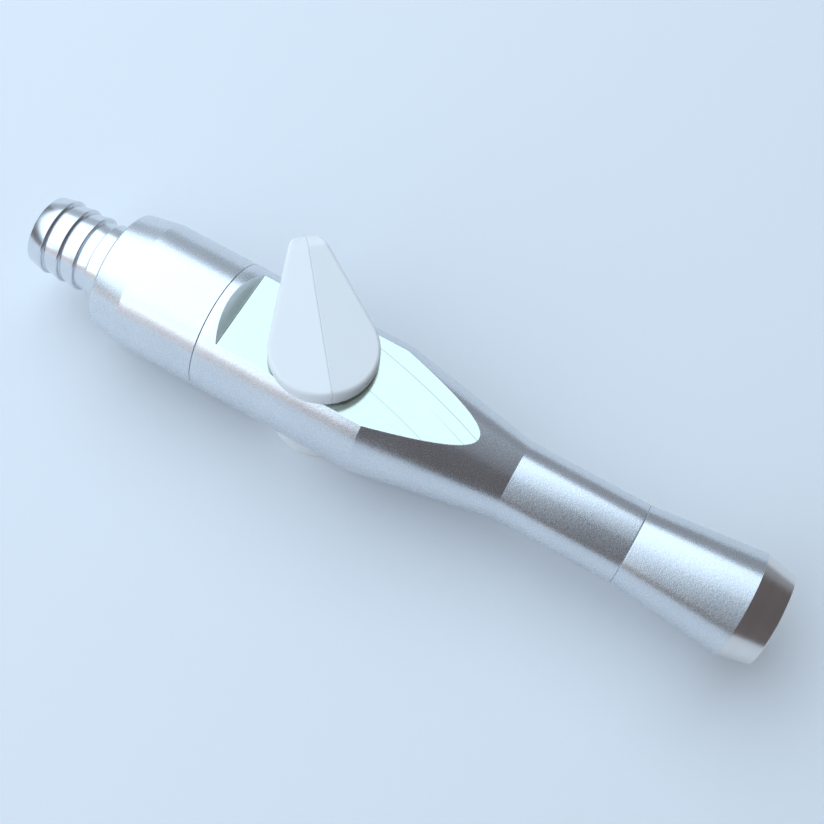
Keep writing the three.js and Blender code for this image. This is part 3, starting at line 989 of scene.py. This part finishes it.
KEPT = {
    "valve_spool": STEEL, "spool_wave_washer": STEEL, "retaining_washer": STEEL,
    "retaining_screw": STEEL, "stop_pin": STEEL, "lever_washer": ACETAL,
    "swivel_washer_rear": ACETAL, "swivel_washer_front": ACETAL, "sleeve_o_ring": RUBBER,
    "nozzle_o_ring": RUBBER, "swivel_o_ring": RUBBER, "spool_o_ring_upper": RUBBER,
    "spool_o_ring_lower": RUBBER,
}
for node, material in KEPT.items():
    dress(frame["nodes"][node], material)
print("pieces made:", len(PIECES), "nodes kept:", len(KEPT))

# %% [markdown]
# ## The table top
#
# The handpiece lies on its cap on a plain pale sheet. The sheet is wide, so that its edges stay
# out of the camera's frame, and it has the faint unevenness of matt paper.

# %% The floor
FLOOR_SIZE = 3.0


def paper():
    graph = Graph("pale paper")
    here = graph.place()
    tooth = graph.noise(here, 1800, 3.0)
    cloud = graph.noise(here, 6, 2.0)
    base = graph.mix(cloud, (0.925, 0.94, 0.965, 1), (0.94, 0.95, 0.975, 1))
    return graph.finish(base_color=base, roughness=0.75 + tooth * 0.1,
                        normal=graph.bump(tooth, 1.5e-5))


half = FLOOR_SIZE / 2
floor_points = np.array([[-half, -half, 0], [half, -half, 0], [half, half, 0], [-half, half, 0]])
floor_mesh = bpy.data.meshes.new("paper_floor")
floor_mesh.from_pydata(floor_points.tolist(), [], [(0, 1, 2, 3)])
floor = bpy.data.objects.new("paper_floor", floor_mesh)
bpy.context.scene.collection.objects.link(floor)
dress(floor, paper())

# %% [markdown]
# ## Light
#
# Metal shows what it reflects, so the light is a room of large soft panels. The main one hangs
# over the rear half of the handpiece: the tube and the flat mirror it and turn white. Its front
# edge is slanted and passes close over the pivot, so the cone and the mouth's chamfer, which lean
# forward, miss it and mirror the dim room instead. A core brightens part of the main one, and a
# faint fill hangs beyond its front edge. Weak walls on the near, far and right sides lift the
# edges of the tube and the flat's rear wall, and the near one is a little warm.


# %% Panels and the room
DAYLIGHT = (0.68, 0.85, 1.0)
WARM = (1.0, 0.95, 0.95)


def panel(name, frame_of, size, brightness, colour):
    """A soft rectangular light that shines along the frame's -Z. Its power is its brightness
    times pi times its area, so its brightness stays the same whatever its size."""
    lamp = bpy.data.lights.new(name, "AREA")
    lamp.shape = "RECTANGLE"
    lamp.size, lamp.size_y = size
    lamp.energy = brightness * math.pi * size[0] * size[1]
    lamp.color = colour
    holder = bpy.data.objects.new(name, lamp)
    holder.matrix_world = frame_of
    bpy.context.scene.collection.objects.link(holder)
    return holder


def overhead(centre, spin=0.0):
    """A frame that looks straight down, turned about the vertical."""
    return Matrix.Translation(centre) @ Matrix.Rotation(spin, 4, "Z")


def facing(place, aim, roll=0.0):
    """A matrix at a place whose -Z points at the aim, turned about that line by roll."""
    away = (Vector(place) - Vector(aim)).normalized()
    right = Vector((0, 0, 1)).cross(away).normalized()
    upward = away.cross(right)
    turn = Matrix((right, upward, away)).transposed()
    turn = turn @ Matrix.Rotation(roll, 3, "Z")
    return Matrix.Translation(place) @ turn.to_4x4()


SLANT = math.radians(-9.3)
panel("main_panel", overhead((-0.891, -0.88, 0.8), SLANT), (1.5, 3.9), 1.75, DAYLIGHT)
panel("core_panel", overhead((-1.0, 0.1, 0.82)), (1.4, 2.4), 0.25, DAYLIGHT)
panel("front_fill", overhead((0.22, 0.6, 0.84), SLANT), (0.36, 1.7), 0.18, DAYLIGHT)
panel("near_wall", facing((-1.0, -1.9, 0.39), (-1.0, 0, 0.39)), (1.4, 0.76), 0.65, WARM)
panel("right_wall", facing((1.4, -0.35, 0.4), (0, -0.35, 0.4)), (2.3, 0.78), 0.25, DAYLIGHT)
panel("right_core", facing((1.38, 0.6, 0.25), (0, 0.0, 0.02)), (0.9, 0.46), 0.5, DAYLIGHT)
panel("far_wall", facing((-0.45, 1.2, 0.45), (-0.45, 0, 0.45)), (2.3, 0.9), 0.24, DAYLIGHT)
panel("far_core", facing((-1.0, 1.18, 0.45), (-1.0, 0, 0.45)), (1.3, 0.9), 0.25, DAYLIGHT)
print("panels:", [lamp.name for lamp in bpy.data.lights])

world = bpy.data.worlds.new("room")
world.use_nodes = True
world.node_tree.nodes["Background"].inputs["Color"].default_value = (0.115, 0.105, 0.11, 1)
world.node_tree.nodes["Background"].inputs["Strength"].default_value = 1.0
bpy.context.scene.world = world
bpy.context.scene.view_settings.view_transform = "Standard"

# %% [markdown]
# ## The camera
#
# It looks down at the handpiece from the front and the near side, about 18 cm away, and is
# rolled so that the handpiece runs down to the right across the frame.

# %% Setting up the camera
CAMERA_PLACE = (0.0360, -0.0648, 0.1655)
CAMERA_AIM = (0.01055, 0.00594, 0)
CAMERA_ROLL = math.radians(10.19)
LENS = 58.75
SENSOR = 36

camera_data = bpy.data.cameras.new("camera")
camera_data.lens = LENS
camera_data.sensor_width = SENSOR
camera_data.clip_start = 0.01
camera = bpy.data.objects.new("camera", camera_data)
camera.matrix_world = facing(CAMERA_PLACE, CAMERA_AIM, CAMERA_ROLL)
bpy.context.scene.collection.objects.link(camera)
bpy.context.scene.camera = camera
print("camera at:", [round(c, 4) for c in camera.matrix_world.translation])

# %% [markdown]
# ## The end
#
# The view layer is brought up to date once more.

# %% The last update
bpy.context.view_layer.update()
